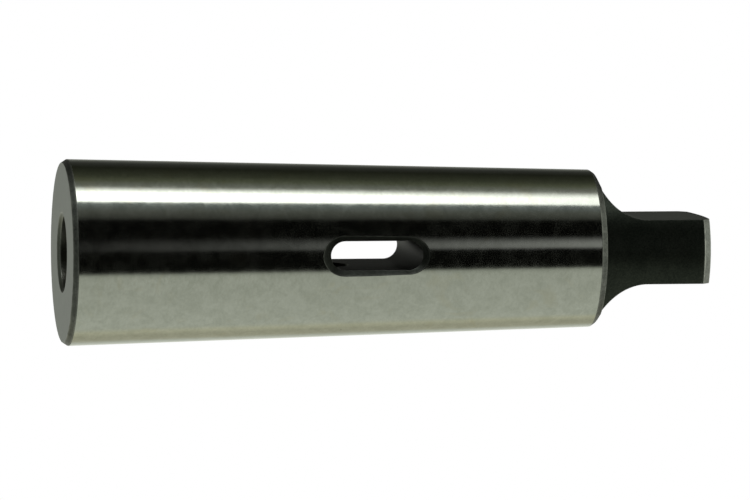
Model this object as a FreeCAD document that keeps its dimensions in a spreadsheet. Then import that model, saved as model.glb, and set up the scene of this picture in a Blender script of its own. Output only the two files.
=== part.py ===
# Reducing sleeve for Morse tapers: size 5 outside, size 2 inside, turned, milled and ground from one bar.
# It stands on its large end face. Z is its axis, with z = 0 on that face and the tang at the top.
# The drift slot runs through along Y, and the two flats of the tang face +X and -X.
import FreeCAD, Part
import Sketcher
import math
import os
from enum import IntEnum

# Every size of the sleeve, in millimetres and degrees: its name, its value and what it measures.
SIZES = [
    ("overall_length", 156.0, "large end face to the rim of the tang's centre hole"),
    ("gauge_diameter", 44.399, "outer taper at its gauge plane"),
    ("gauge_distance", 6.5, "large end face to the gauge plane"),
    ("outer_taper", 19.002, "length for each unit of diameter, outside"),
    ("rim_chamfer_length", 1.25, "chamfer at the large end, along the axis"),
    ("rim_chamfer_depth", 0.85, "chamfer at the large end, across the axis"),
    ("tang_length", 26.5, "small end of the cone to the tip of the tang"),
    ("shoulder_chamfer_length", 1.5, "chamfer at the small end of the cone, along the axis"),
    ("shoulder_chamfer_depth", 1.0, "chamfer at the small end of the cone, across the axis"),
    ("tang_diameter", 34.4, "turned edges of the tang"),
    ("tang_thickness", 15.5, "across the two flats"),
    ("tang_straight", 16.2, "tip of the tang to the start of the root arc"),
    ("tang_root_radius", 10.9, "arc at the root of each flat"),
    ("tip_chamfer", 1.8, "chamfer round the tip of the tang"),
    ("tip_crown", 0.8, "bulge of the end of the tang"),
    ("socket_diameter", 17.78, "inner taper at the large end face"),
    ("socket_taper", 20.02, "length for each unit of diameter, inside"),
    ("socket_chamfer", 0.75, "chamfer at the mouth of the socket"),
    ("relief_diameter", 14.9, "drilled bore past the inner taper"),
    ("relief_depth", 67.0, "large end face to the end of the drilled bore"),
    ("drill_angle", 118.0, "cone at the end of the drilled bore"),
    ("slot_start", 62.2, "large end face to the near end of the drift slot"),
    ("slot_length", 22.2, "drift slot, end to end"),
    ("slot_width", 6.9, "drift slot, side to side"),
    ("slot_bevel", 1.8, "depth of the bevel round each mouth of the drift slot"),
    ("slot_bevel_angle", 45.0, "slope of that bevel"),
    ("centre_mouth_diameter", 6.7, "centre hole in the end of the tang, at its rim"),
    ("centre_pilot_diameter", 3.15, "pilot of the centre hole"),
    ("centre_pilot_depth", 5.9, "rim of the centre hole to the end of its pilot"),
    ("centre_angle", 60.0, "cone of the centre hole"),
    ("cutter_overrun", 5.0, "how far a cutter runs past the metal"),
]

ON_AXIS = "0"
FULL_TURN = 360.0


class Axis(IntEnum):
    """Sketcher's numbers for the two axes of a sketch."""
    ACROSS = -1
    SLEEVE = -2


class Point(IntEnum):
    """Sketcher's numbers for the points of a line or an arc."""
    START = 1
    END = 2
    CENTRE = 3


def cone_radius(height):
    """Radius of the outer taper at a height above the large end face."""
    return f"(Sizes.gauge_diameter - ({height} - Sizes.gauge_distance) / Sizes.outer_taper) / 2"


def socket_radius(height):
    """Radius of the inner taper at a height above the large end face."""
    return f"(Sizes.socket_diameter - {height} / Sizes.socket_taper) / 2"


def make_sheet(doc):
    """Write the sizes into the sheet, and name each cell."""
    sheet = doc.addObject("Spreadsheet::Sheet", "Sizes")
    for row, (name, value, meaning) in enumerate(SIZES, start=1):
        sheet.set(f"A{row}", name)
        sheet.set(f"B{row}", str(value))
        sheet.set(f"C{row}", meaning)
        sheet.setAlias(f"B{row}", name)
    doc.recompute()


def origin_plane(body, role):
    """The body's own origin plane with that role."""
    return next(item for item in body.Origin.OriginFeatures if item.Role == role)


def new_sketch(body, name, offset=None):
    """A sketch on the body's XZ plane, or moved from it towards -Y by an offset."""
    sketch = body.newObject("Sketcher::SketchObject", name)
    sketch.AttachmentSupport = [(origin_plane(body, "XZ_Plane"), "")]
    sketch.MapMode = "FlatFace"
    if offset is not None:
        sketch.setExpression("AttachmentOffset.Base.z", offset)
    return sketch


def new_feature(body, kind, name, sketch):
    """A feature made from a sketch, as the new tip of the body."""
    feature = body.newObject(f"PartDesign::{kind}", name)
    feature.Profile = sketch
    body.Tip = feature
    return feature


def mirror_feature(body, name, feature, role):
    """The body's last feature repeated on the other side of an origin plane."""
    mirror = body.newObject("PartDesign::Mirrored", name)
    mirror.Originals = [feature]
    mirror.MirrorPlane = (origin_plane(body, role), [""])
    body.Tip = mirror
    return mirror


def bind(sketch, name, text, kind, *geometry):
    """Add a sized constraint and tie it to an expression."""
    value = float(sketch.evalExpression(text))
    index = sketch.addConstraint(Sketcher.Constraint(kind, *geometry, value))
    sketch.renameConstraint(index, name)
    sketch.setExpression(f"Constraints.{name}", text)


def hold_across(sketch, name, side, point, text):
    """Hold a point at a distance from the sleeve's axis."""
    if text == ON_AXIS:
        sketch.addConstraint(Sketcher.Constraint("PointOnObject", side, point, Axis.SLEEVE))
    else:
        bind(sketch, f"{name}_across", text, "DistanceX", side, point)


def hold_along(sketch, name, side, point, text):
    """Hold a point at a height above the large end face."""
    if text == ON_AXIS:
        sketch.addConstraint(Sketcher.Constraint("PointOnObject", side, point, Axis.ACROSS))
    else:
        bind(sketch, f"{name}_along", text, "DistanceY", side, point)


def arc_between(start, end, centre_across):
    """The arc that turns left from start to end about a centre at a known distance from the axis."""
    middle = (start + end) / 2
    slope = (end.x - start.x) / (end.y - start.y)
    centre = FreeCAD.Vector(centre_across, middle.y + (middle.x - centre_across) * slope, 0)
    angles = [math.atan2(point.y - centre.y, point.x - centre.x) for point in (start, end)]
    if angles[1] < angles[0]:
        angles[1] += 2 * math.pi
    circle = Part.Circle(centre, FreeCAD.Vector(0, 0, 1), (start - centre).Length)
    return Part.ArcOfCircle(circle, *angles)


def draw_outline(sketch, corners, arcs=None):
    """Draw a closed outline through named corners. An arc starts at each corner that arcs names,
    with its centre at the distance from the axis given there."""
    arcs = arcs or {}
    names = list(corners)
    points = {name: FreeCAD.Vector(*[float(sketch.evalExpression(text)) for text in corners[name]], 0)
              for name in names}
    for name, following in zip(names, names[1:] + names[:1]):
        if name in arcs:
            centre_across = float(sketch.evalExpression(arcs[name]))
            sketch.addGeometry(arc_between(points[name], points[following], centre_across))
        else:
            sketch.addGeometry(Part.LineSegment(points[name], points[following]))
    for side, name in enumerate(names):
        following = (side + 1) % len(names)
        sketch.addConstraint(Sketcher.Constraint("Coincident", side, Point.END, following, Point.START))
        hold_across(sketch, name, side, Point.START, corners[name][0])
        hold_along(sketch, name, side, Point.START, corners[name][1])
        if name in arcs:
            hold_across(sketch, f"{name}_centre", side, Point.CENTRE, arcs[name])


def draw_slot(sketch):
    """Draw the drift slot's outline: two half circles on the sleeve's axis, joined by two lines."""
    near = "Sizes.slot_start + Sizes.slot_width / 2"
    far = "Sizes.slot_start + Sizes.slot_length - Sizes.slot_width / 2"
    radius, low, high = (float(sketch.evalExpression(text)) for text in ("Sizes.slot_width / 2", near, far))
    up = FreeCAD.Vector(0, 0, 1)
    near_end = Part.Circle(FreeCAD.Vector(0, low, 0), up, radius)
    far_end = Part.Circle(FreeCAD.Vector(0, high, 0), up, radius)
    sketch.addGeometry(Part.ArcOfCircle(near_end, math.pi, 2 * math.pi))
    sketch.addGeometry(Part.LineSegment(FreeCAD.Vector(radius, low, 0), FreeCAD.Vector(radius, high, 0)))
    sketch.addGeometry(Part.ArcOfCircle(far_end, 0, math.pi))
    sketch.addGeometry(Part.LineSegment(FreeCAD.Vector(-radius, high, 0), FreeCAD.Vector(-radius, low, 0)))
    for side in range(4):
        sketch.addConstraint(Sketcher.Constraint("Tangent", side, Point.END, (side + 1) % 4, Point.START))
    sketch.addConstraint(Sketcher.Constraint("Vertical", 1))
    hold_across(sketch, "near_end", 0, Point.CENTRE, ON_AXIS)
    hold_along(sketch, "near_end", 0, Point.CENTRE, near)
    hold_across(sketch, "far_end", 2, Point.CENTRE, ON_AXIS)
    hold_along(sketch, "far_end", 2, Point.CENTRE, far)
    bind(sketch, "slot_radius", "Sizes.slot_width / 2", "Radius", 0)


def turn_blank(body):
    """Turn the outside: the chamfered cone, the round blank of the tang and its crowned end."""
    shoulder = "Sizes.overall_length - Sizes.tang_length"
    cone_end = f"{shoulder} - Sizes.shoulder_chamfer_length"
    tip_edge = "Sizes.overall_length - Sizes.tip_crown"
    sketch = new_sketch(body, "blank_outline")
    draw_outline(sketch, {
        "foot": (ON_AXIS, ON_AXIS),
        "face_edge": (f"{cone_radius('0')} - Sizes.rim_chamfer_depth", ON_AXIS),
        "rim": (cone_radius("Sizes.rim_chamfer_length"), "Sizes.rim_chamfer_length"),
        "cone_end": (cone_radius(cone_end), cone_end),
        "shoulder_edge": (f"{cone_radius(cone_end)} - Sizes.shoulder_chamfer_depth", shoulder),
        "tang_root": ("Sizes.tang_diameter / 2", shoulder),
        "tang_edge": ("Sizes.tang_diameter / 2", f"{tip_edge} - Sizes.tip_chamfer"),
        "tip_edge": ("Sizes.tang_diameter / 2 - Sizes.tip_chamfer", tip_edge),
        "tip_rim": ("Sizes.centre_mouth_diameter / 2", "Sizes.overall_length"),
        "tip": (ON_AXIS, "Sizes.overall_length"),
    }, arcs={"tip_edge": ON_AXIS})
    blank = new_feature(body, "Revolution", "turned_blank", sketch)
    blank.ReferenceAxis = (sketch, ["V_Axis"])
    blank.Angle = FULL_TURN
    return blank


def turn_groove(body, name, corners):
    """Cut the space that a closed outline sweeps round the sleeve's axis."""
    sketch = new_sketch(body, f"{name}_outline")
    draw_outline(sketch, corners)
    groove = new_feature(body, "Groove", name, sketch)
    groove.ReferenceAxis = (sketch, ["V_Axis"])
    groove.Angle = FULL_TURN
    return groove


def bore_socket(body):
    """Bore the inner taper, its chamfered mouth and the drilled relief past it."""
    relief_start = "(Sizes.socket_diameter - Sizes.relief_diameter) * Sizes.socket_taper"
    drill_tip = "Sizes.relief_depth + Sizes.relief_diameter / 2 / tan(Sizes.drill_angle / 2)"
    taper_edge = socket_radius("Sizes.socket_chamfer")
    return turn_groove(body, "taper_socket", {
        "mouth_middle": (ON_AXIS, ON_AXIS),
        "mouth": (f"{taper_edge} + Sizes.socket_chamfer", ON_AXIS),
        "taper_edge": (taper_edge, "Sizes.socket_chamfer"),
        "relief_start": ("Sizes.relief_diameter / 2", relief_start),
        "relief_end": ("Sizes.relief_diameter / 2", "Sizes.relief_depth"),
        "drill_tip": (ON_AXIS, drill_tip),
    })


def drill_centre(body):
    """Drill the centre hole in the end of the tang."""
    mouth = "Sizes.centre_mouth_diameter / 2"
    pilot = "Sizes.centre_pilot_diameter / 2"
    cone_depth = f"({mouth} - {pilot}) / tan(Sizes.centre_angle / 2)"
    pilot_end = "Sizes.overall_length - Sizes.centre_pilot_depth"
    return turn_groove(body, "centre_hole", {
        "tip": (ON_AXIS, "Sizes.overall_length"),
        "drill_tip": (ON_AXIS, f"{pilot_end} - {pilot} / tan(Sizes.drill_angle / 2)"),
        "pilot_end": (pilot, pilot_end),
        "pilot_start": (pilot, f"Sizes.overall_length - {cone_depth}"),
        "mouth": (mouth, "Sizes.overall_length"),
    })


def mill_flats(body):
    """Mill the tang's two flats, with the arc that the cutter leaves at the root of each."""
    flat = "Sizes.tang_thickness / 2"
    arc_start = "Sizes.overall_length - Sizes.tang_straight"
    arc_end = f"{arc_start} - Sizes.tang_root_radius"
    outside = "Sizes.gauge_diameter / 2 + Sizes.tang_root_radius"
    above = "Sizes.overall_length + Sizes.cutter_overrun"
    sketch = new_sketch(body, "flat_outline")
    draw_outline(sketch, {
        "flat_top": (flat, above),
        "arc_start": (flat, arc_start),
        "arc_end": (f"{flat} + Sizes.tang_root_radius", arc_end),
        "outside_root": (outside, arc_end),
        "outside_top": (outside, above),
    }, arcs={"arc_start": f"{flat} + Sizes.tang_root_radius"})
    pocket = new_feature(body, "Pocket", "tang_flat", sketch)
    pocket.SideType = "Symmetric"
    pocket.Type = "ThroughAll"
    return pocket, mirror_feature(body, "tang_flats", pocket, "YZ_Plane")


def mill_slot(body):
    """Mill the drift slot through both walls."""
    sketch = new_sketch(body, "slot_outline")
    draw_slot(sketch)
    pocket = new_feature(body, "Pocket", "drift_slot", sketch)
    pocket.SideType = "Symmetric"
    pocket.Type = "ThroughAll"
    return pocket


def bevel_slot(body):
    """Bevel both mouths of the slot, down to one depth below the cone at the slot's middle."""
    surface = cone_radius("(Sizes.slot_start + Sizes.slot_length / 2)")
    sketch = new_sketch(body, "bevel_outline", offset=f"{surface} - Sizes.slot_bevel")
    draw_slot(sketch)
    pocket = new_feature(body, "Pocket", "slot_bevel", sketch)
    pocket.Reversed = True
    pocket.setExpression("Length", "Sizes.slot_bevel + Sizes.cutter_overrun")
    pocket.setExpression("TaperAngle", "Sizes.slot_bevel_angle")
    return pocket, mirror_feature(body, "slot_bevels", pocket, "XZ_Plane")


def make_sleeve(doc):
    """Turn, bore and mill the sleeve, in that order."""
    body = doc.addObject("PartDesign::Body", "sleeve")
    body.Label = "sleeve"
    features = [turn_blank(body), bore_socket(body), drill_centre(body)]
    features += mill_flats(body)
    features.append(mill_slot(body))
    features += bevel_slot(body)
    body.Placement = FreeCAD.Placement()
    doc.recompute()
    check_cuts(features)
    return body


def check_cuts(features):
    """Stop if a cut took no metal away."""
    for before, after in zip(features, features[1:]):
        if after.Shape.Volume >= before.Shape.Volume:
            raise RuntimeError(f"{after.Name} cuts nothing")


def check_document(doc, body):
    """Stop if an object failed, or if the sleeve isn't one valid solid."""
    for item in doc.Objects:
        if "Invalid" in item.State or "Error" in item.State:
            raise RuntimeError(f"{item.Name} failed: {item.State}")
    shape = body.Shape
    if shape.isNull() or not shape.isValid() or len(shape.Solids) != 1:
        raise RuntimeError("the sleeve is not one valid solid")


def main():
    """Build the document, check it and write the sleeve's file."""
    doc = FreeCAD.newDocument("MorseSleeve")
    make_sheet(doc)
    body = make_sleeve(doc)
    check_document(doc, body)
    os.makedirs("parts", exist_ok=True)
    body.Shape.exportStep(f"parts/{body.Label}.step")
    print(f"{body.Label}: {body.Shape.Volume:.1f} mm3")


main()
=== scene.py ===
import bpy
import math
from mathutils import Matrix, Vector


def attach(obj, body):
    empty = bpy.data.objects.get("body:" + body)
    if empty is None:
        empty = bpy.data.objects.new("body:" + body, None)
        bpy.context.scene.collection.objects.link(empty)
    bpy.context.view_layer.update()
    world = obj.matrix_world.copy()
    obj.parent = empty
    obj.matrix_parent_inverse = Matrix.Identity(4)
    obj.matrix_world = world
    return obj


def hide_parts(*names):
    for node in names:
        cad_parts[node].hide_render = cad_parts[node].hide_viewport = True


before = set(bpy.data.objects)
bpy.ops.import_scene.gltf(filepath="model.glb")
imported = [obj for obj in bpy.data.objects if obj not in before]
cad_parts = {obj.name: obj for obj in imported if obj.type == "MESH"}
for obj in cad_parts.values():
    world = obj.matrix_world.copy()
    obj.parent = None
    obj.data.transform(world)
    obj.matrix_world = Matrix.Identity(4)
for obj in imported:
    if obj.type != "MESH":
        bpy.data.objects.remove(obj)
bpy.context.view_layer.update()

# The sleeve's sizes in millimetres. Heights are measured from the large end face.
MM = 0.001
LENGTH = 156.0
GAUGE_RADIUS = 44.399 / 2
GAUGE_HEIGHT = 6.5
CONE_SLOPE = 1 / (2 * 19.002)
RIM_CHAMFER_LENGTH = 1.25
RIM_CHAMFER_DEPTH = 0.85
SHOULDER_HEIGHT = LENGTH - 26.5
SHOULDER_CHAMFER_LENGTH = 1.5
SHOULDER_CHAMFER_DEPTH = 1.0
CONE_END = SHOULDER_HEIGHT - SHOULDER_CHAMFER_LENGTH
TANG_RADIUS = 34.4 / 2
FLAT_OFFSET = 15.5 / 2
FLAT_START = LENGTH - 16.2
ROOT_RADIUS = 10.9
TIP_CHAMFER = 1.8
TIP_CROWN = 0.8
SOCKET_RADIUS = 17.78 / 2
SOCKET_SLOPE = 1 / (2 * 20.02)
SOCKET_CHAMFER = 0.75
RELIEF_RADIUS = 14.9 / 2
RELIEF_END = 67.0
DRILL_SLOPE = math.tan(math.radians(118 / 2))
SLOT_START = 62.2
SLOT_LENGTH = 22.2
SLOT_RADIUS = 6.9 / 2
SLOT_BEVEL = 1.8
CENTRE_MOUTH_RADIUS = 6.7 / 2
CENTRE_PILOT_RADIUS = 3.15 / 2
CENTRE_PILOT_DEPTH = 5.9
CENTRE_SLOPE = math.tan(math.radians(60 / 2))

# How finely the skin is divided, and how far its edges are broken.
RING_STEPS = 192
WINDOW_STEPS = 12
SIDE_STEPS = 24
ROUND_STEPS = 24
CHORD_STEPS = 14
BROKEN_EDGE = 0.09
# Width over which the highlight painted along each broken edge fades out.
GLINT_WIDTH = 0.32
WINDOW_LOW = 56.0
WINDOW_HIGH = 90.0
NEAR = 0.01
UP = (0.0, 1.0)


def cone_radius(height):
    """Radius of the outer taper at a height."""
    return GAUGE_RADIUS - (height - GAUGE_HEIGHT) * CONE_SLOPE


def socket_radius(height):
    """Radius of the inner taper at a height."""
    return SOCKET_RADIUS - height * SOCKET_SLOPE


def bore_radius(height):
    """Radius of the clearance bore and of the cone that the drill left at its end."""
    return RELIEF_RADIUS - max(0.0, height - RELIEF_END) * DRILL_SLOPE


def halve(low, high, is_low):
    """The place between low and high where is_low changes from true to false."""
    for _ in range(60):
        middle = (low + high) / 2
        if is_low(middle):
            low = middle
        else:
            high = middle
    return (low + high) / 2


def steps(start, end, count):
    """count + 1 evenly spaced numbers from start to end."""
    return [start + (end - start) * index / count for index in range(count + 1)]


class Skin:
    """The surface of a piece, gathered strip by strip in millimetres. Coinciding corners are welded."""

    def __init__(self, finishes):
        self.order = list(finishes)
        self.places = []
        self.glint = []
        self.known = {}
        self.faces = []
        self.finishes = []
        self.normals = []

    def corner(self, place, glint):
        """The number of the corner at a place."""
        key = tuple(round(value * 1000) for value in place)
        if key not in self.known:
            self.known[key] = len(self.places)
            self.places.append([value * MM for value in place])
            self.glint.append(glint)
        number = self.known[key]
        self.glint[number] = max(self.glint[number], glint)
        return number

    def add_grid(self, rows, finish):
        """Join rows of points, each (place, normal, share of painted edge highlight), into quads or triangles."""
        numbers = [[self.corner(place, glint) for place, _, glint in row] for row in rows]
        for near in range(len(rows) - 1):
            for left in range(len(rows[0]) - 1):
                spots = ((near, left), (near, left + 1), (near + 1, left + 1), (near + 1, left))
                self.add_face(rows, numbers, spots, finish)

    def add_face(self, rows, numbers, spots, finish):
        """Add one face, turned the way its corners' normals point."""
        corners, normals = [], []
        for row, column in spots:
            number = numbers[row][column]
            if number not in corners:
                corners.append(number)
                normals.append(rows[row][column][1])
        if len(corners) < 3:
            return
        places = [Vector(self.places[number]) for number in corners]
        facing = (places[1] - places[0]).cross(places[-1] - places[0])
        if len(corners) == 4:
            facing = (places[2] - places[0]).cross(places[3] - places[1])
        if facing.dot(sum((Vector(normal) for normal in normals), Vector())) < 0:
            corners.reverse()
            normals.reverse()
        self.faces.append(corners)
        self.finishes.append(self.order.index(finish))
        self.normals += normals

    def to_object(self, name, materials):
        """The finished piece."""
        mesh = bpy.data.meshes.new(name)
        mesh.from_pydata(self.places, [], self.faces)
        mesh.polygons.foreach_set("material_index", self.finishes)
        mesh.polygons.foreach_set("use_smooth", [True] * len(self.faces))
        # Per corner, how much highlight is painted along the broken edges.
        mesh.attributes.new("edge_glint", "FLOAT", "POINT").data.foreach_set("value", self.glint)
        for material in materials:
            mesh.materials.append(material)
        mesh.normals_split_custom_set(self.normals)
        piece = bpy.data.objects.new(name, mesh)
        bpy.context.scene.collection.objects.link(piece)
        return piece


def spun(radius, height, slope, angle, glint=0.0):
    """A point of a turned surface. slope is its normal as (outwards, upwards), and angle runs from -Y to +X."""
    side, front = math.sin(angle), -math.cos(angle)
    place = (radius * side, radius * front, height)
    return place, (slope[0] * side, slope[0] * front, slope[1]), glint


def stretch(start, end, cuts=(), start_broken=True, end_broken=True):
    """The rings, each (radius, height, slope, share of painted edge highlight), of a straight stretch of a turned
    profile, cut again at parts of its length. The metal lies to its left, and a broken end stops short of its
    corner."""
    along = Vector(end) - Vector(start)
    length = along.length
    along.normalize()
    # The ring next to a broken edge takes the full painted highlight, the one after it none.
    marks = [(0.0, 0.0)] if not start_broken else [(BROKEN_EDGE, 1.0), (BROKEN_EDGE + GLINT_WIDTH, 0.0)]
    marks += [(cut * length, 0.0) for cut in cuts]
    far = [(length, 0.0)] if not end_broken else [(length - BROKEN_EDGE, 1.0)]
    if end_broken and length > 3 * GLINT_WIDTH:
        marks.append((length - BROKEN_EDGE - GLINT_WIDTH, 0.0))
    marks = sorted(marks) + far
    slope = (along.y, -along.x)
    return [(*(Vector(start) + along * distance), slope, glint) for distance, glint in marks]


def full_ring(ring):
    """The points once round a turned surface."""
    radius, height, slope, glint = ring
    return [spun(radius, height, slope, angle, glint) for angle in steps(-math.pi, math.pi, RING_STEPS)]


def add_turned(skin, rings, finish):
    """Add whole rings of a turned surface."""
    skin.add_grid([full_ring(ring) for ring in rings], finish)


def slot_outline():
    """Corners once round the drift slot at the floor of its bevel, each (across, height, outward direction)."""
    near = SLOT_START + SLOT_RADIUS
    far = SLOT_START + SLOT_LENGTH - SLOT_RADIUS
    sides = steps(near, RELIEF_END, 3) + steps(RELIEF_END, drill_meets_slot(), 5)[1:]
    sides += steps(drill_meets_slot(), far, SIDE_STEPS - 8)[1:]
    outline = []
    for angle in steps(-math.pi / 2, math.pi / 2, ROUND_STEPS):
        outline.append((SLOT_RADIUS * math.sin(angle), near - SLOT_RADIUS * math.cos(angle),
                        (math.sin(angle), -math.cos(angle))))
    outline += [(SLOT_RADIUS, height, (1, 0)) for height in sides[1:]]
    for angle in steps(math.pi / 2, -math.pi / 2, ROUND_STEPS)[1:]:
        outline.append((SLOT_RADIUS * math.sin(angle), far + SLOT_RADIUS * math.cos(angle),
                        (math.sin(angle), math.cos(angle))))
    outline += [(-SLOT_RADIUS, height, (-1, 0)) for height in reversed(sides[:-1])]
    return outline


def drill_meets_slot():
    """Height at which the drill's cone has closed in to the slot's sides."""
    return RELIEF_END + (RELIEF_RADIUS - SLOT_RADIUS) / DRILL_SLOPE


def window_outline():
    """Corners once round the patch of cone that holds a mouth of the slot, each (angle, height),
    in step with the slot's outline."""
    edge = WINDOW_STEPS * 2 * math.pi / RING_STEPS
    outline = [(angle, WINDOW_LOW) for angle in steps(-edge, edge, ROUND_STEPS)]
    outline += [(edge, height) for height in steps(WINDOW_LOW, WINDOW_HIGH, SIDE_STEPS)[1:]]
    outline += [(angle, WINDOW_HIGH) for angle in steps(edge, -edge, ROUND_STEPS)[1:]]
    outline += [(-edge, height) for height in steps(WINDOW_HIGH, WINDOW_LOW, SIDE_STEPS)[1:]]
    return outline


def turn_half(rows):
    """The same rows after half a turn round the sleeve's axis."""
    return [[((-x, -y, z), (-a, -b, c), glint) for (x, y, z), (a, b, c), glint in row] for row in rows]


def add_both(skin, rows, finish):
    """Add a grid and its copy on the other side of the sleeve."""
    skin.add_grid(rows, finish)
    skin.add_grid(turn_half(rows), finish)


def add_cone(skin, rings):
    """Add the outer taper, whole below and above the slot and in two halves beside it."""
    add_turned(skin, [ring for ring in rings if ring[1] <= WINDOW_LOW + NEAR], "taper")
    add_turned(skin, [ring for ring in rings if ring[1] >= WINDOW_HIGH - NEAR], "taper")
    edge = WINDOW_STEPS * 2 * math.pi / RING_STEPS
    beside = [ring for ring in rings if WINDOW_LOW - NEAR <= ring[1] <= WINDOW_HIGH + NEAR]
    angles = steps(edge, math.pi - edge, RING_STEPS // 2 - 2 * WINDOW_STEPS)
    add_both(skin, [[spun(*ring[:3], angle) for angle in angles] for ring in beside], "taper")


def add_slot(skin, cone_slope):
    """Add both mouths of the drift slot with their bevels, and its walls down to the bore."""
    floor = cone_radius(SLOT_START + SLOT_LENGTH / 2) - SLOT_BEVEL
    mouth, bevel, wall = [], [], []
    for (across, height, out), window in zip(slot_outline(), window_outline()):
        rise = halve(0, 4, lambda run: math.hypot(across + out[0] * run, floor + run)
                     < cone_radius(height + out[1] * run))
        strip = mouth_strip(across + out[0] * rise, floor + rise, height + out[1] * rise, window, cone_slope)
        mouth.append(strip)
        into = (-out[0], -out[1])
        slope = bevel_strip(across, height, floor, rise, out)
        sides = wall_strip(across, height, floor, into)
        bevel.append([strip[0]] + slope + [sides[0]])
        wall.append(sides)
    add_both(skin, mouth, "taper")
    add_both(skin, bevel, "bevel")
    add_both(skin, wall, "slot")


def mouth_strip(across, depth, height, window, cone_slope):
    """Points on the cone from the slot's edge out to its window."""
    angle = math.atan2(across, depth)
    gap = math.hypot((window[0] - angle) * depth, window[1] - height)
    strip = []
    for run, glint in ((BROKEN_EDGE / gap, 1), ((BROKEN_EDGE + GLINT_WIDTH) / gap, 0), (0.3, 0), (0.6, 0), (1, 0)):
        level = height + (window[1] - height) * run
        strip.append(spun(cone_radius(level), level, cone_slope, angle + (window[0] - angle) * run, glint))
    return strip


def bevel_strip(across, height, floor, rise, out):
    """Points down the bevel from the slot's outer edge to its floor."""
    normal = (-out[0] / math.sqrt(2), -1 / math.sqrt(2), -out[1] / math.sqrt(2))
    near, far = BROKEN_EDGE / math.sqrt(2), (BROKEN_EDGE + GLINT_WIDTH) / math.sqrt(2)
    marks = ((rise - near, 1), (rise - far, 0), (rise / 2, 0), (far, 0), (near, 1))
    return [((across + out[0] * run, -floor - run, height + out[1] * run), normal, glint) for run, glint in marks]


def wall_strip(across, height, floor, into):
    """Points down the slot's wall from its bevel to the bore, or to the middle above the bore."""
    inner = 0.0
    if height < drill_meets_slot() - NEAR:
        inner = math.sqrt(max(0.0, bore_radius(height) ** 2 - across ** 2))
    marks = [(floor - BROKEN_EDGE, 1), (floor - BROKEN_EDGE - GLINT_WIDTH, 0)]
    marks += [(depth, 0) for depth in steps(floor - 1.5, inner, 6)]
    return [((across, -depth, height), (into[0], 0, into[1]), glint) for depth, glint in marks]


def add_bore(skin):
    """Add the clearance bore and the drill's cone, which the slot cuts in two."""
    corners = slot_outline()[ROUND_STEPS // 2:ROUND_STEPS + 9]
    relief = [corner for corner in corners if corner[1] <= RELIEF_END + NEAR]
    drill = [corner for corner in corners if corner[1] >= RELIEF_END - NEAR]
    lean = math.hypot(1, DRILL_SLOPE)
    for part, slope in ((relief, (-1, 0)), (drill, (-1 / lean, -DRILL_SLOPE / lean))):
        rows = []
        for across, height, _ in part:
            radius = bore_radius(height)
            start = math.asin(min(1.0, across / radius))
            rows.append([spun(radius, height, slope, angle)
                         for angle in steps(start, math.pi - start, RING_STEPS // 2)])
        add_both(skin, rows, "bore")


def flat_place(height):
    """Distance of the tang's flat, or of its root arc, from the sleeve's middle, and its normal."""
    fall = max(0.0, FLAT_START - height)
    reach = math.sqrt(max(0.0, ROOT_RADIUS ** 2 - fall ** 2))
    return FLAT_OFFSET + ROOT_RADIUS - reach, (reach / ROOT_RADIUS, 0, fall / ROOT_RADIUS)


def chord_spots(half, shrink):
    """Places along half the flat's width, to each side of its middle."""
    end = half - shrink
    edge = end - min(GLINT_WIDTH, 0.2 * end)
    return [-end] + steps(-edge, edge, CHORD_STEPS) + [end]


def chord_row(level, spots):
    """Points across the flat on the +X side at one level."""
    place, normal = flat_place(level)
    row = [((place, spot, level), normal, 0) for spot in spots]
    row[0] = (*row[0][:2], 1)
    row[-1] = (*row[-1][:2], 1)
    return row


def arc_row(ring, shrink=0.0):
    """Points round the front of a ring, between the flats."""
    radius, height, slope, glint = ring
    place = min(radius, flat_place(height)[0])
    end = math.asin(place / radius) - shrink / radius
    row = [spun(radius, height, slope, angle, glint) for angle in steps(-end, end, RING_STEPS // 2)]
    row[0] = (*row[0][:2], 1)
    row[-1] = (*row[-1][:2], 1)
    return row


def half_chord(ring):
    """Half the width of the flat where it meets a ring."""
    return math.sqrt(max(0.0, ring[0] ** 2 - flat_place(ring[1])[0] ** 2))


def add_shoulder(skin, cone_last):
    """Add the chamfer at the end of the cone, cut by the root arcs, and the face inside it."""
    start = (cone_radius(CONE_END), CONE_END)
    end = (start[0] - SHOULDER_CHAMFER_DEPTH, SHOULDER_HEIGHT)
    fall = SHOULDER_CHAMFER_DEPTH / SHOULDER_CHAMFER_LENGTH
    cut = halve(FLAT_START - ROOT_RADIUS, SHOULDER_HEIGHT,
                lambda level: start[0] - (level - CONE_END) * fall < flat_place(level)[0])
    middle = (start[0] - (cut - CONE_END) * fall, cut)
    add_turned(skin, [cone_last] + stretch(start, middle, (0.6,), end_broken=False), "shoulder")
    outer = (end[0] - BROKEN_EDGE, SHOULDER_HEIGHT, UP, 1.0)
    inner = (TANG_RADIUS, SHOULDER_HEIGHT, UP, 0.0)
    rings = stretch(middle, end, (0.03, 0.1, 0.25, 0.5), start_broken=False) + [outer]
    add_both(skin, [arc_row(ring) for ring in rings], "shoulder")
    add_both(skin, [arc_row(outer), arc_row(inner)], "tang")
    share = half_chord(inner) / half_chord(outer)
    rows = []
    for ring in rings:
        half = half_chord(ring)
        rows.append(chord_row(ring[1], [-half] + chord_spots(half * share, 0) + [half]))
    add_both(skin, rows, "tang")


def crown_ring(radius, glint=0.0):
    """A ring of the slightly domed end of the tang."""
    edge = TANG_RADIUS - TIP_CHAMFER
    middle = LENGTH - TIP_CROWN / 2 - (edge ** 2 - CENTRE_MOUTH_RADIUS ** 2) / (2 * TIP_CROWN)
    dome = math.hypot(edge, LENGTH - TIP_CROWN - middle)
    height = middle + math.sqrt(dome ** 2 - radius ** 2)
    return radius, height, (radius / dome, (height - middle) / dome), glint


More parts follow.
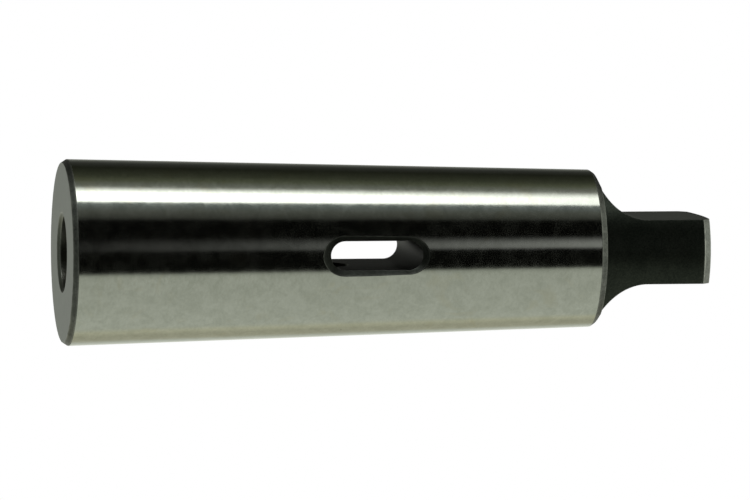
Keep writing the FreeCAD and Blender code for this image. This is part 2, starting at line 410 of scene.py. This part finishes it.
def add_tang(skin):
    """Add the tang, its two flats with their root arcs, and its end with the centre hole."""
    edge = TANG_RADIUS - TIP_CHAMFER
    tip_low, tip_high = LENGTH - TIP_CROWN - TIP_CHAMFER, LENGTH - TIP_CROWN
    swing = math.acos((FLAT_START - SHOULDER_HEIGHT) / ROOT_RADIUS)
    levels = [FLAT_START - ROOT_RADIUS * math.cos(angle) for angle in steps(swing, math.pi / 2, 24)[1:]]
    levels += steps(FLAT_START, tip_low, 5)[1:-1]
    cuts = [(level - SHOULDER_HEIGHT) / (tip_low - SHOULDER_HEIGHT) for level in levels]
    side = stretch((TANG_RADIUS, SHOULDER_HEIGHT), (TANG_RADIUS, tip_low), cuts, start_broken=False)
    chamfer = stretch((TANG_RADIUS, tip_low), (edge, tip_high), (0.5,))
    crown = [crown_ring(edge - BROKEN_EDGE, 1.0)]
    crown += [crown_ring(radius) for radius in steps(edge - BROKEN_EDGE - GLINT_WIDTH, FLAT_OFFSET, 14)]
    shrinks = {}
    for ring in side + chamfer + crown:
        shrinks[ring] = 0.0 if ring is side[0] else min(BROKEN_EDGE, 0.2 * half_chord(ring))
    add_both(skin, [arc_row(ring, shrinks[ring]) for ring in side], "tang")
    add_both(skin, [arc_row(ring, shrinks[ring]) for ring in [side[-1]] + chamfer + [crown[0]]], "tip")
    add_both(skin, [arc_row(ring, shrinks[ring]) for ring in crown], "tip")
    rows, front, back = [], [], []
    for ring in side + chamfer + crown:
        chord = chord_row(ring[1], chord_spots(half_chord(ring), shrinks[ring]))
        arc = arc_row(ring, shrinks[ring])
        rows.append(chord)
        front.append([arc[-1], chord[0]])
        back.append([turn_half([arc])[0][0], chord[-1]])
    for grid in (rows, front, back):
        add_both(skin, grid, "tang")
    add_centre_hole(skin)


def add_centre_hole(skin):
    """Add the middle of the tang's end and the centre hole that the sleeve was ground on."""
    mouth = (CENTRE_MOUTH_RADIUS, LENGTH)
    throat = (CENTRE_PILOT_RADIUS, LENGTH - (CENTRE_MOUTH_RADIUS - CENTRE_PILOT_RADIUS) / CENTRE_SLOPE)
    bottom = (CENTRE_PILOT_RADIUS, LENGTH - CENTRE_PILOT_DEPTH)
    point = (0.0, bottom[1] - CENTRE_PILOT_RADIUS / DRILL_SLOPE)
    crown = [crown_ring(radius) for radius in steps(FLAT_OFFSET, CENTRE_MOUTH_RADIUS + BROKEN_EDGE, 5)]
    add_turned(skin, crown, "tip")
    add_turned(skin, [crown[-1]] + stretch(mouth, throat, (0.5,), end_broken=False), "tip")
    # The hole's inside takes the slot walls' near-black finish: dark steel, plus painted shade in this recess.
    add_turned(skin, stretch(throat, bottom, (0.5,), False, False), "slot")
    add_turned(skin, stretch(bottom, point, (), False, False), "slot")


def build_sleeve(finishes):
    """The whole skin of the sleeve."""
    skin = Skin(finishes)
    meet = (SOCKET_RADIUS - RELIEF_RADIUS) / SOCKET_SLOPE
    socket_edge = (socket_radius(SOCKET_CHAMFER), SOCKET_CHAMFER)
    mouth_edge = (socket_edge[0] + SOCKET_CHAMFER, 0.0)
    face_edge = (cone_radius(0) - RIM_CHAMFER_DEPTH, 0.0)
    rim_edge = (cone_radius(RIM_CHAMFER_LENGTH), RIM_CHAMFER_LENGTH)
    cone_edge = (cone_radius(CONE_END), CONE_END)
    heights = steps(8, WINDOW_LOW, 6) + steps(WINDOW_LOW, WINDOW_HIGH, SIDE_STEPS)[1:]
    heights += steps(WINDOW_HIGH, CONE_END - 4, 5)[1:]
    cuts = [(height - rim_edge[1]) / (cone_edge[1] - rim_edge[1]) for height in heights]
    relief = stretch((RELIEF_RADIUS, SLOT_START), (RELIEF_RADIUS, meet), (0.5,), False, False)
    socket = stretch((RELIEF_RADIUS, meet), socket_edge, steps(0.1, 0.9, 8), start_broken=False)
    mouth = stretch(socket_edge, mouth_edge)
    face = stretch(mouth_edge, face_edge, (0.2, 0.5, 0.8))
    rim = stretch(face_edge, rim_edge, (0.5,))
    cone = stretch(rim_edge, cone_edge, cuts)
    add_turned(skin, relief, "bore")
    add_turned(skin, socket, "bore")
    add_turned(skin, [socket[-1]] + mouth + [face[0]], "mouth")
    add_turned(skin, face, "face")
    add_turned(skin, [face[-1]] + rim + [cone[0]], "rim")
    add_cone(skin, cone)
    add_slot(skin, cone[0][2])
    add_bore(skin)
    add_shoulder(skin, cone[-1])
    add_tang(skin)
    return skin


class Nodes:
    """A short way to build one node tree."""

    def __init__(self, tree):
        self.tree = tree

    def feed(self, socket, value):
        """Link or set one socket."""
        if isinstance(value, bpy.types.NodeSocket):
            self.tree.links.new(value, socket)
        elif socket.type == "RGBA" and len(value) == 3:
            socket.default_value = (*value, 1)
        else:
            socket.default_value = value

    def add(self, kind, settings=None, **inputs):
        """A new node. An input's name has _ for its spaces."""
        node = self.tree.nodes.new("ShaderNode" + kind)
        for name, value in (settings or {}).items():
            setattr(node, name, value)
        for name, value in inputs.items():
            self.feed(node.inputs[name.replace("_", " ")], value)
        return node

    def math(self, operation, *values):
        """The result of a sum."""
        node = self.add("Math", {"operation": operation})
        for socket, value in zip(node.inputs, values):
            self.feed(socket, value)
        return node.outputs[0]

    def place(self, around, along):
        """A place on the metal, with its own scale round the sleeve and along it."""
        spot = self.add("TexCoord").outputs["Object"]
        scaled = self.add("Mapping", Vector=spot, Scale=(around, around, along))
        return scaled.outputs[0]

    def noise(self, place, detail=2.0, rough=0.5):
        """Soft noise from 0 to 1 with features one unit across."""
        return self.add("TexNoise", Vector=place, Scale=1.0, Detail=detail, Roughness=rough).outputs["Fac"]

    def span(self, value, low, high, first=0.0, last=1.0):
        """value from low to high becomes first to last, eased at both ends."""
        node = self.add("MapRange", {"interpolation_type": "SMOOTHSTEP"}, Value=value, From_Min=low, From_Max=high,
                        To_Min=first, To_Max=last)
        return node.outputs[0]

    def mix(self, share, first, second):
        """first where share is 0, second where it is 1."""
        node = self.add("Mix", {"data_type": "RGBA"})
        self.feed(node.inputs["Factor"], share)
        self.feed(node.inputs[6], first)
        self.feed(node.inputs[7], second)
        return node.outputs[2]

    def bump(self, height, size, strength=1.0):
        """A normal from a height of up to size metres."""
        return self.add("Bump", Height=height, Distance=size, Strength=strength).outputs[0]


def new_group(name, inputs, outputs):
    """An empty node group with its named inputs and outputs."""
    group = bpy.data.node_groups.new(name, "ShaderNodeTree")
    for label, value in inputs.items():
        group.interface.new_socket(label, in_out="INPUT", socket_type="NodeSocketFloat").default_value = value
    for label in outputs:
        group.interface.new_socket(label, in_out="OUTPUT", socket_type="NodeSocketFloat")
    nodes = Nodes(group)
    given = group.nodes.new("NodeGroupInput").outputs
    result = group.nodes.new("NodeGroupOutput").inputs
    return group, nodes, given, result


def grain_group():
    """Speckle as fine as the metal's grain, as a mask and as a height."""
    group, nodes, given, result = new_group("grain", {"Fineness": 3500.0, "Contrast": 0.5}, ("Mask", "Height"))
    spot = nodes.add("TexCoord").outputs["Object"]
    fine = nodes.add("TexNoise", Vector=spot, Scale=given["Fineness"], Detail=2.0, Roughness=0.7).outputs["Fac"]
    half = nodes.math("MULTIPLY", given["Contrast"], 0.2)
    mask = nodes.add("MapRange", Value=fine, From_Min=nodes.math("SUBTRACT", 0.5, half),
                     From_Max=nodes.math("ADD", 0.5, half)).outputs[0]
    nodes.feed(result["Mask"], mask)
    nodes.feed(result["Height"], fine)
    return group


def edge_glint_group():
    """Light lines painted along the broken edges as highlights, broken up by noise."""
    group, nodes, given, result = new_group("edge_glint", {"Amount": 0.5}, ("Mask",))
    edge = nodes.add("Attribute", {"attribute_name": "edge_glint"}).outputs["Fac"]
    patchy = nodes.span(nodes.noise(nodes.place(500, 500), 3.0, 0.65), 0.35, 0.65)
    share = nodes.math("MULTIPLY", given["Amount"], nodes.math("ADD", 0.4, nodes.math("MULTIPLY", patchy, 0.6)))
    nodes.feed(result["Mask"], nodes.math("MULTIPLY", share, edge))
    return group


def blotch_group():
    """Cloudy patches a few millimetres across, and rarer stains."""
    group, nodes, given, result = new_group("blotches", {"Spread": 220.0}, ("Clouds", "Stains"))
    spot = nodes.add("TexCoord").outputs["Object"]
    clouds = nodes.add("TexNoise", Vector=spot, Scale=given["Spread"], Detail=4.0, Roughness=0.6,
                       Distortion=0.6).outputs["Fac"]
    rare = nodes.add("TexNoise", Vector=spot, Scale=nodes.math("MULTIPLY", given["Spread"], 0.35), Detail=3.0,
                     Roughness=0.55, Distortion=1.2).outputs["Fac"]
    nodes.feed(result["Clouds"], nodes.span(clouds, 0.3, 0.7))
    nodes.feed(result["Stains"], nodes.span(rare, 0.56, 0.72))
    return group


def use_group(nodes, group, **inputs):
    """A shared effect inside a material."""
    node = nodes.add("Group", {"node_tree": group})
    for name, value in inputs.items():
        nodes.feed(node.inputs[name], value)
    return node.outputs


def new_material(name, metallic, roughness):
    """An empty material with its shader."""
    material = bpy.data.materials.new(name)
    material.use_nodes = True
    shader = material.node_tree.nodes["Principled BSDF"]
    shader.inputs["Metallic"].default_value = metallic
    shader.inputs["Roughness"].default_value = roughness
    return material, Nodes(material.node_tree), shader.inputs


def ground_taper(effects):
    """Bright steel, ground round the sleeve: fine rings, cloudy patches, faint stains and a few pits."""
    material, nodes, shader = new_material("ground_taper", 1.0, 0.16)
    shader["Anisotropic"].default_value = 0.85
    shader["Anisotropic Rotation"].default_value = 0.25
    nodes.feed(shader["Tangent"], nodes.add("Tangent", {"direction_type": "RADIAL", "axis": "Z"}).outputs[0])
    patches = use_group(nodes, effects["blotches"], Spread=300.0)
    grain = use_group(nodes, effects["grain"], Fineness=3600.0, Contrast=1.0)
    scuffs = nodes.span(nodes.noise(nodes.place(900, 1500), 3.0, 0.65), 0.3, 0.7)
    cloudy = nodes.math("ADD", nodes.math("MULTIPLY", patches["Clouds"], 0.6), nodes.math("MULTIPLY", scuffs, 0.4))
    colour = nodes.mix(cloudy, (0.48, 0.505, 0.44), (0.60, 0.625, 0.56))
    colour = nodes.mix(nodes.math("MULTIPLY", patches["Stains"], 0.35), colour, (0.53, 0.52, 0.40))
    cells = nodes.add("TexVoronoi", Vector=nodes.place(1, 1), Scale=95.0)
    chosen = nodes.math("GREATER_THAN", nodes.add("SeparateColor", Color=cells.outputs["Color"]).outputs[0], 0.72)
    pits = nodes.math("MULTIPLY", nodes.span(cells.outputs["Distance"], 0.014, 0.026, 1.0, 0.0), chosen)
    colour = nodes.mix(nodes.math("MULTIPLY", pits, 0.9), colour, (0.03, 0.03, 0.025))
    nodes.feed(shader["Base Color"], colour)
    rings = nodes.noise(nodes.place(45, 3000), 3.0, 0.6)
    height = nodes.math("ADD", nodes.math("MULTIPLY", rings, 0.5), nodes.math("MULTIPLY", grain["Height"], 0.5))
    wavy = nodes.bump(nodes.noise(nodes.place(170, 170), 2.0, 0.5), 0.00001)
    fine = nodes.add("Bump", Height=height, Distance=0.0000045, Normal=wavy).outputs[0]
    nodes.feed(shader["Normal"], fine)
    rough = nodes.span(patches["Clouds"], 0, 1, 0.145, 0.18)
    nodes.feed(shader["Roughness"], rough)
    return material


def dull_steel(effects, name, dark, light, rough, glint, glint_colour=(0.5, 0.52, 0.47), grain_size=3000.0, contrast=0.8,
               rings=0.0, metallic=1.0):
    """Dark steel, mostly left dark by hardening: speckled, with highlights painted along its edges."""
    material, nodes, shader = new_material(name, metallic, rough)
    grain = use_group(nodes, effects["grain"], Fineness=grain_size, Contrast=contrast)
    patches = use_group(nodes, effects["blotches"], Spread=260.0)
    glint_mask = use_group(nodes, effects["glint"], Amount=glint)["Mask"]
    speckle = nodes.math("ADD", nodes.math("MULTIPLY", grain["Mask"], 0.6),
                         nodes.math("MULTIPLY", patches["Clouds"], 0.4))
    # Painted highlight: the edges are mixed towards a light colour.
    colour = nodes.mix(glint_mask, nodes.mix(speckle, dark, light), glint_colour)
    nodes.feed(shader["Base Color"], colour)
    nodes.feed(shader["Roughness"], nodes.span(glint_mask, 0, 1, rough, 0.3))
    height = grain["Height"]
    if rings:
        height = nodes.math("ADD", height, nodes.math("MULTIPLY", turning_marks(nodes), rings))
    nodes.feed(shader["Normal"], nodes.bump(height, 0.000012))
    return material


def turning_marks(nodes):
    """Fine rings about the sleeve's axis, left by a turning tool."""
    spot = nodes.add("SeparateXYZ", Vector=nodes.add("TexCoord").outputs["Object"]).outputs
    radius = nodes.math("SQRT", nodes.math("ADD", nodes.math("MULTIPLY", spot["X"], spot["X"]),
                                           nodes.math("MULTIPLY", spot["Y"], spot["Y"])))
    closeness = 2600.0
    line = nodes.add("CombineXYZ", X=nodes.math("MULTIPLY", radius, closeness),
                     Y=nodes.math("MULTIPLY", spot["Z"], closeness))
    return nodes.noise(line.outputs[0], 2.0, 0.5)


def make_finishes():
    """The material of each finish, in the order of the skin's material slots."""
    effects = {"grain": grain_group(), "glint": edge_glint_group(), "blotches": blotch_group()}
    return {
        "taper": ground_taper(effects),
        "face": dull_steel(effects, "turned_face", (0.25, 0.265, 0.25), (0.31, 0.33, 0.31), 0.42, 0.3,
                           contrast=0.5, rings=0.6),
        "rim": dull_steel(effects, "rim_chamfer", (0.06, 0.066, 0.058), (0.2, 0.21, 0.19), 0.45, 0.35,
                          grain_size=2400.0, contrast=1.0),
        "mouth": dull_steel(effects, "mouth_chamfer", (0.13, 0.14, 0.12), (0.22, 0.23, 0.2), 0.4, 0.3),
        # The bore's ground steel gets a dark colour, painting the shade deep inside the sleeve.
        "bore": dull_steel(effects, "socket_bore", (0.13, 0.135, 0.11), (0.2, 0.205, 0.175), 0.35, 0.2),
        "shoulder": dull_steel(effects, "shoulder_chamfer", (0.04, 0.044, 0.039), (0.15, 0.157, 0.145), 0.42, 0.2,
                               grain_size=2400.0, contrast=1.0),
        "tang": dull_steel(effects, "blackened_tang", (0.02, 0.025, 0.02), (0.05, 0.058, 0.046), 0.42, 0.12,
                           grain_size=2400.0),
        "tip": dull_steel(effects, "tang_end", (0.05, 0.054, 0.048), (0.2, 0.21, 0.195), 0.42, 0.5,
                          grain_size=2000.0, contrast=1.0),
        "bevel": dull_steel(effects, "slot_bevel", (0.014, 0.016, 0.013), (0.045, 0.049, 0.043), 0.4, 0.1,
                            grain_size=2400.0),
        # Near-black: the hardened steel's dark oxide, darkened further as painted shade inside the slot and the
        # centre hole.
        "slot": dull_steel(effects, "slot_wall", (0.004, 0.0045, 0.0035), (0.016, 0.017, 0.014), 0.55, 0.03,
                           metallic=0.2),
    }


CAMERA_PLACE = (-0.1318938, -1.8110893, -0.2280856)
CAMERA_AHEAD = (0.071652, 0.983675, 0.165098)
CAMERA_RIGHT = (-0.0034961, -0.1653260, 0.9862328)
CAMERA_LENS = 367.2
CAMERA_SENSOR = 36.0


def add_camera():
    """The studio camera, low in front of the standing sleeve and rolled so that the sleeve lies across the view."""
    lens = bpy.data.cameras.new("camera")
    lens.lens = CAMERA_LENS
    lens.sensor_width = CAMERA_SENSOR
    lens.clip_end = 20.0
    camera = bpy.data.objects.new("camera", lens)
    bpy.context.scene.collection.objects.link(camera)
    forward = Vector(CAMERA_AHEAD).normalized()
    right = Vector(CAMERA_RIGHT)
    up = right.cross(forward).normalized()
    right = forward.cross(up)
    turn = Matrix((right, up, -forward)).transposed()
    camera.matrix_world = Matrix.Translation(CAMERA_PLACE) @ turn.to_4x4()
    bpy.context.scene.camera = camera


# What surrounds the sleeve, by the angle round its axis from the camera's side (0) over the camera's top (90)
# and on behind the sleeve: (angle, brightness, tint).
NEUTRAL = (0.97, 1.0, 0.90)
WARM = (1.02, 1.0, 0.78)
OLIVE = (0.93, 1.0, 0.68)
COOL = (0.85, 0.97, 1.0)
SURROUNDINGS = [
    (-180, 0.45, NEUTRAL), (-165, 0.75, NEUTRAL), (-150, 0.58, NEUTRAL), (-140, 0.44, WARM), (-126, 0.44, WARM),
    (-117, 0.56, WARM), (-108, 0.55, NEUTRAL), (-60, 0.50, NEUTRAL), (-30, 0.47, NEUTRAL), (-26, 0.40, NEUTRAL),
    (-23, 0.02, NEUTRAL), (-21, 0.0, NEUTRAL), (44, 0.0, NEUTRAL), (48, 0.05, NEUTRAL), (57, 0.10, NEUTRAL),
    (66, 0.17, COOL), (90, 0.25, NEUTRAL), (98, 0.19, NEUTRAL), (106, 0.11, OLIVE), (115, 0.055, OLIVE),
    (124, 0.035, OLIVE), (136, 0.018, OLIVE), (152, 0.04, NEUTRAL), (163, 0.10, NEUTRAL), (172, 0.25, NEUTRAL),
]


def add_surroundings():
    """A white backdrop for the camera, and a dark studio with a pale floor for the metal to mirror."""
    world = bpy.data.worlds.new("studio")
    bpy.context.scene.world = world
    world.use_nodes = True
    world.node_tree.nodes.clear()
    nodes = Nodes(world.node_tree)
    spot = nodes.add("SeparateXYZ", Vector=nodes.add("TexCoord").outputs["Generated"]).outputs
    angle = nodes.math("ARCTAN2", nodes.math("MULTIPLY", spot["X"], -1.0), nodes.math("MULTIPLY", spot["Y"], -1.0))
    ramp = nodes.add("ValToRGB", Fac=nodes.math("ADD", nodes.math("DIVIDE", angle, 2 * math.pi), 0.5))
    stops = ramp.color_ramp.elements
    stops.remove(stops[1])
    for degrees, level, tint in SURROUNDINGS:
        stop = stops.new(degrees / 360 + 0.5) if degrees > -180 else stops[0]
        stop.color = (*(level * part for part in tint), 1)
    above = nodes.mix(nodes.span(spot["Z"], 0.6, 0.95), ramp.outputs["Color"], (1.15, 1.18, 1.05))
    around = nodes.mix(nodes.span(spot["Z"], -0.5, -0.9), above, (0.2, 0.21, 0.19))
    mirrored = nodes.add("Background", Color=around)
    seen = nodes.add("Background", Color=(1, 1, 1))
    either = nodes.add("MixShader", Fac=nodes.add("LightPath").outputs["Is Camera Ray"])
    nodes.feed(either.inputs[1], mirrored.outputs[0])
    nodes.feed(either.inputs[2], seen.outputs[0])
    nodes.add("OutputWorld", Surface=either.outputs[0])


def add_card(name, angle, distance, width, heights, shade):
    """A glowing card beside the sleeve, that only shows in the metal. angle runs as in SURROUNDINGS."""
    turn = math.radians(angle)
    toward = Vector((-math.sin(turn), -math.cos(turn), 0.0))
    side = Vector((-math.cos(turn), math.sin(turn), 0.0)) * (width / 2)
    middle = toward * distance
    low, high = (Vector((0, 0, height)) for height in heights)
    corners = [middle - side + low, middle + side + low, middle + side + high, middle - side + high]
    mesh = bpy.data.meshes.new(name)
    mesh.from_pydata(corners, [], [(0, 1, 2, 3)])
    spread = mesh.uv_layers.new(name="card")
    for loop, place in enumerate(((0, 0), (1, 0), (1, 1), (0, 1))):
        spread.data[loop].uv = place
    card = bpy.data.objects.new(name, mesh)
    bpy.context.scene.collection.objects.link(card)
    card.visible_camera = card.visible_diffuse = card.visible_transmission = card.visible_shadow = False
    material = bpy.data.materials.new(name)
    material.use_nodes = True
    material.node_tree.nodes.clear()
    nodes = Nodes(material.node_tree)
    place = nodes.add("SeparateXYZ", Vector=nodes.add("UVMap", {"uv_map": "card"}).outputs[0]).outputs
    glow = nodes.add("Emission", Strength=shade(nodes, place["X"], place["Y"]))
    both = nodes.add("AddShader")
    nodes.feed(both.inputs[0], nodes.add("BsdfTransparent").outputs[0])
    nodes.feed(both.inputs[1], glow.outputs[0])
    nodes.add("OutputMaterial", Surface=both.outputs[0])
    mesh.materials.append(material)


def strip_shade(nodes, across, along):
    """A strip light: sharp at its lower edge, soft at its upper one, and dimmer past its far end."""
    lower = nodes.span(across, 0.04, 0.09)
    upper = nodes.span(across, 0.45, 1.0, 1.0, 0.0)
    length = nodes.span(along, 0.45, 0.85, 1.0, 0.35)
    return nodes.math("MULTIPLY", nodes.math("MULTIPLY", nodes.math("MULTIPLY", lower, upper), length), 2.6)


def streak_shade(nodes, across, along):
    """A faint glow near the camera, brighter towards the tang."""
    centre = nodes.math("MULTIPLY", nodes.span(across, 0.0, 0.22), nodes.span(across, 0.35, 1.0, 1.0, 0.0))
    length = nodes.math("POWER", along, 2.4)
    return nodes.math("MULTIPLY", nodes.math("MULTIPLY", centre, length), 0.75)


def add_lights():
    """The two things that the metal mirrors from close by."""
    add_card("strip_light", 80, 0.4, 0.19, (-0.25, 0.45), strip_shade)
    add_card("camera_glow", 12.5, 0.3, 0.105, (0.0, 0.3), streak_shade)


def add_floor():
    """A pale floor under the sleeve, seen only from above."""
    mesh = bpy.data.meshes.new("floor")
    reach = 3.0
    mesh.from_pydata([(-reach, -reach, -0.0001), (reach, -reach, -0.0001), (reach, reach, -0.0001),
                      (-reach, reach, -0.0001)], [], [(0, 1, 2, 3)])
    floor = bpy.data.objects.new("floor", mesh)
    bpy.context.scene.collection.objects.link(floor)
    floor.visible_diffuse = floor.visible_glossy = floor.visible_transmission = floor.visible_shadow = False
    material = bpy.data.materials.new("floor")
    material.use_nodes = True
    nodes = Nodes(material.node_tree)
    shader = material.node_tree.nodes["Principled BSDF"]
    shader.inputs["Base Color"].default_value = (0.82, 0.82, 0.81, 1)
    shader.inputs["Roughness"].default_value = 0.9
    under = nodes.add("MixShader", Fac=nodes.add("NewGeometry").outputs["Backfacing"])
    nodes.feed(under.inputs[1], shader.outputs[0])
    nodes.feed(under.inputs[2], nodes.add("BsdfTransparent").outputs[0])
    nodes.feed(material.node_tree.nodes["Material Output"].inputs["Surface"], under.outputs[0])
    mesh.materials.append(material)


finishes = make_finishes()
sleeve = build_sleeve(finishes).to_object("sleeve_skin", list(finishes.values()))
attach(sleeve, "root")
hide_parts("sleeve")
add_camera()
add_surroundings()
add_lights()
add_floor()
bpy.context.scene.view_settings.view_transform = "Standard"
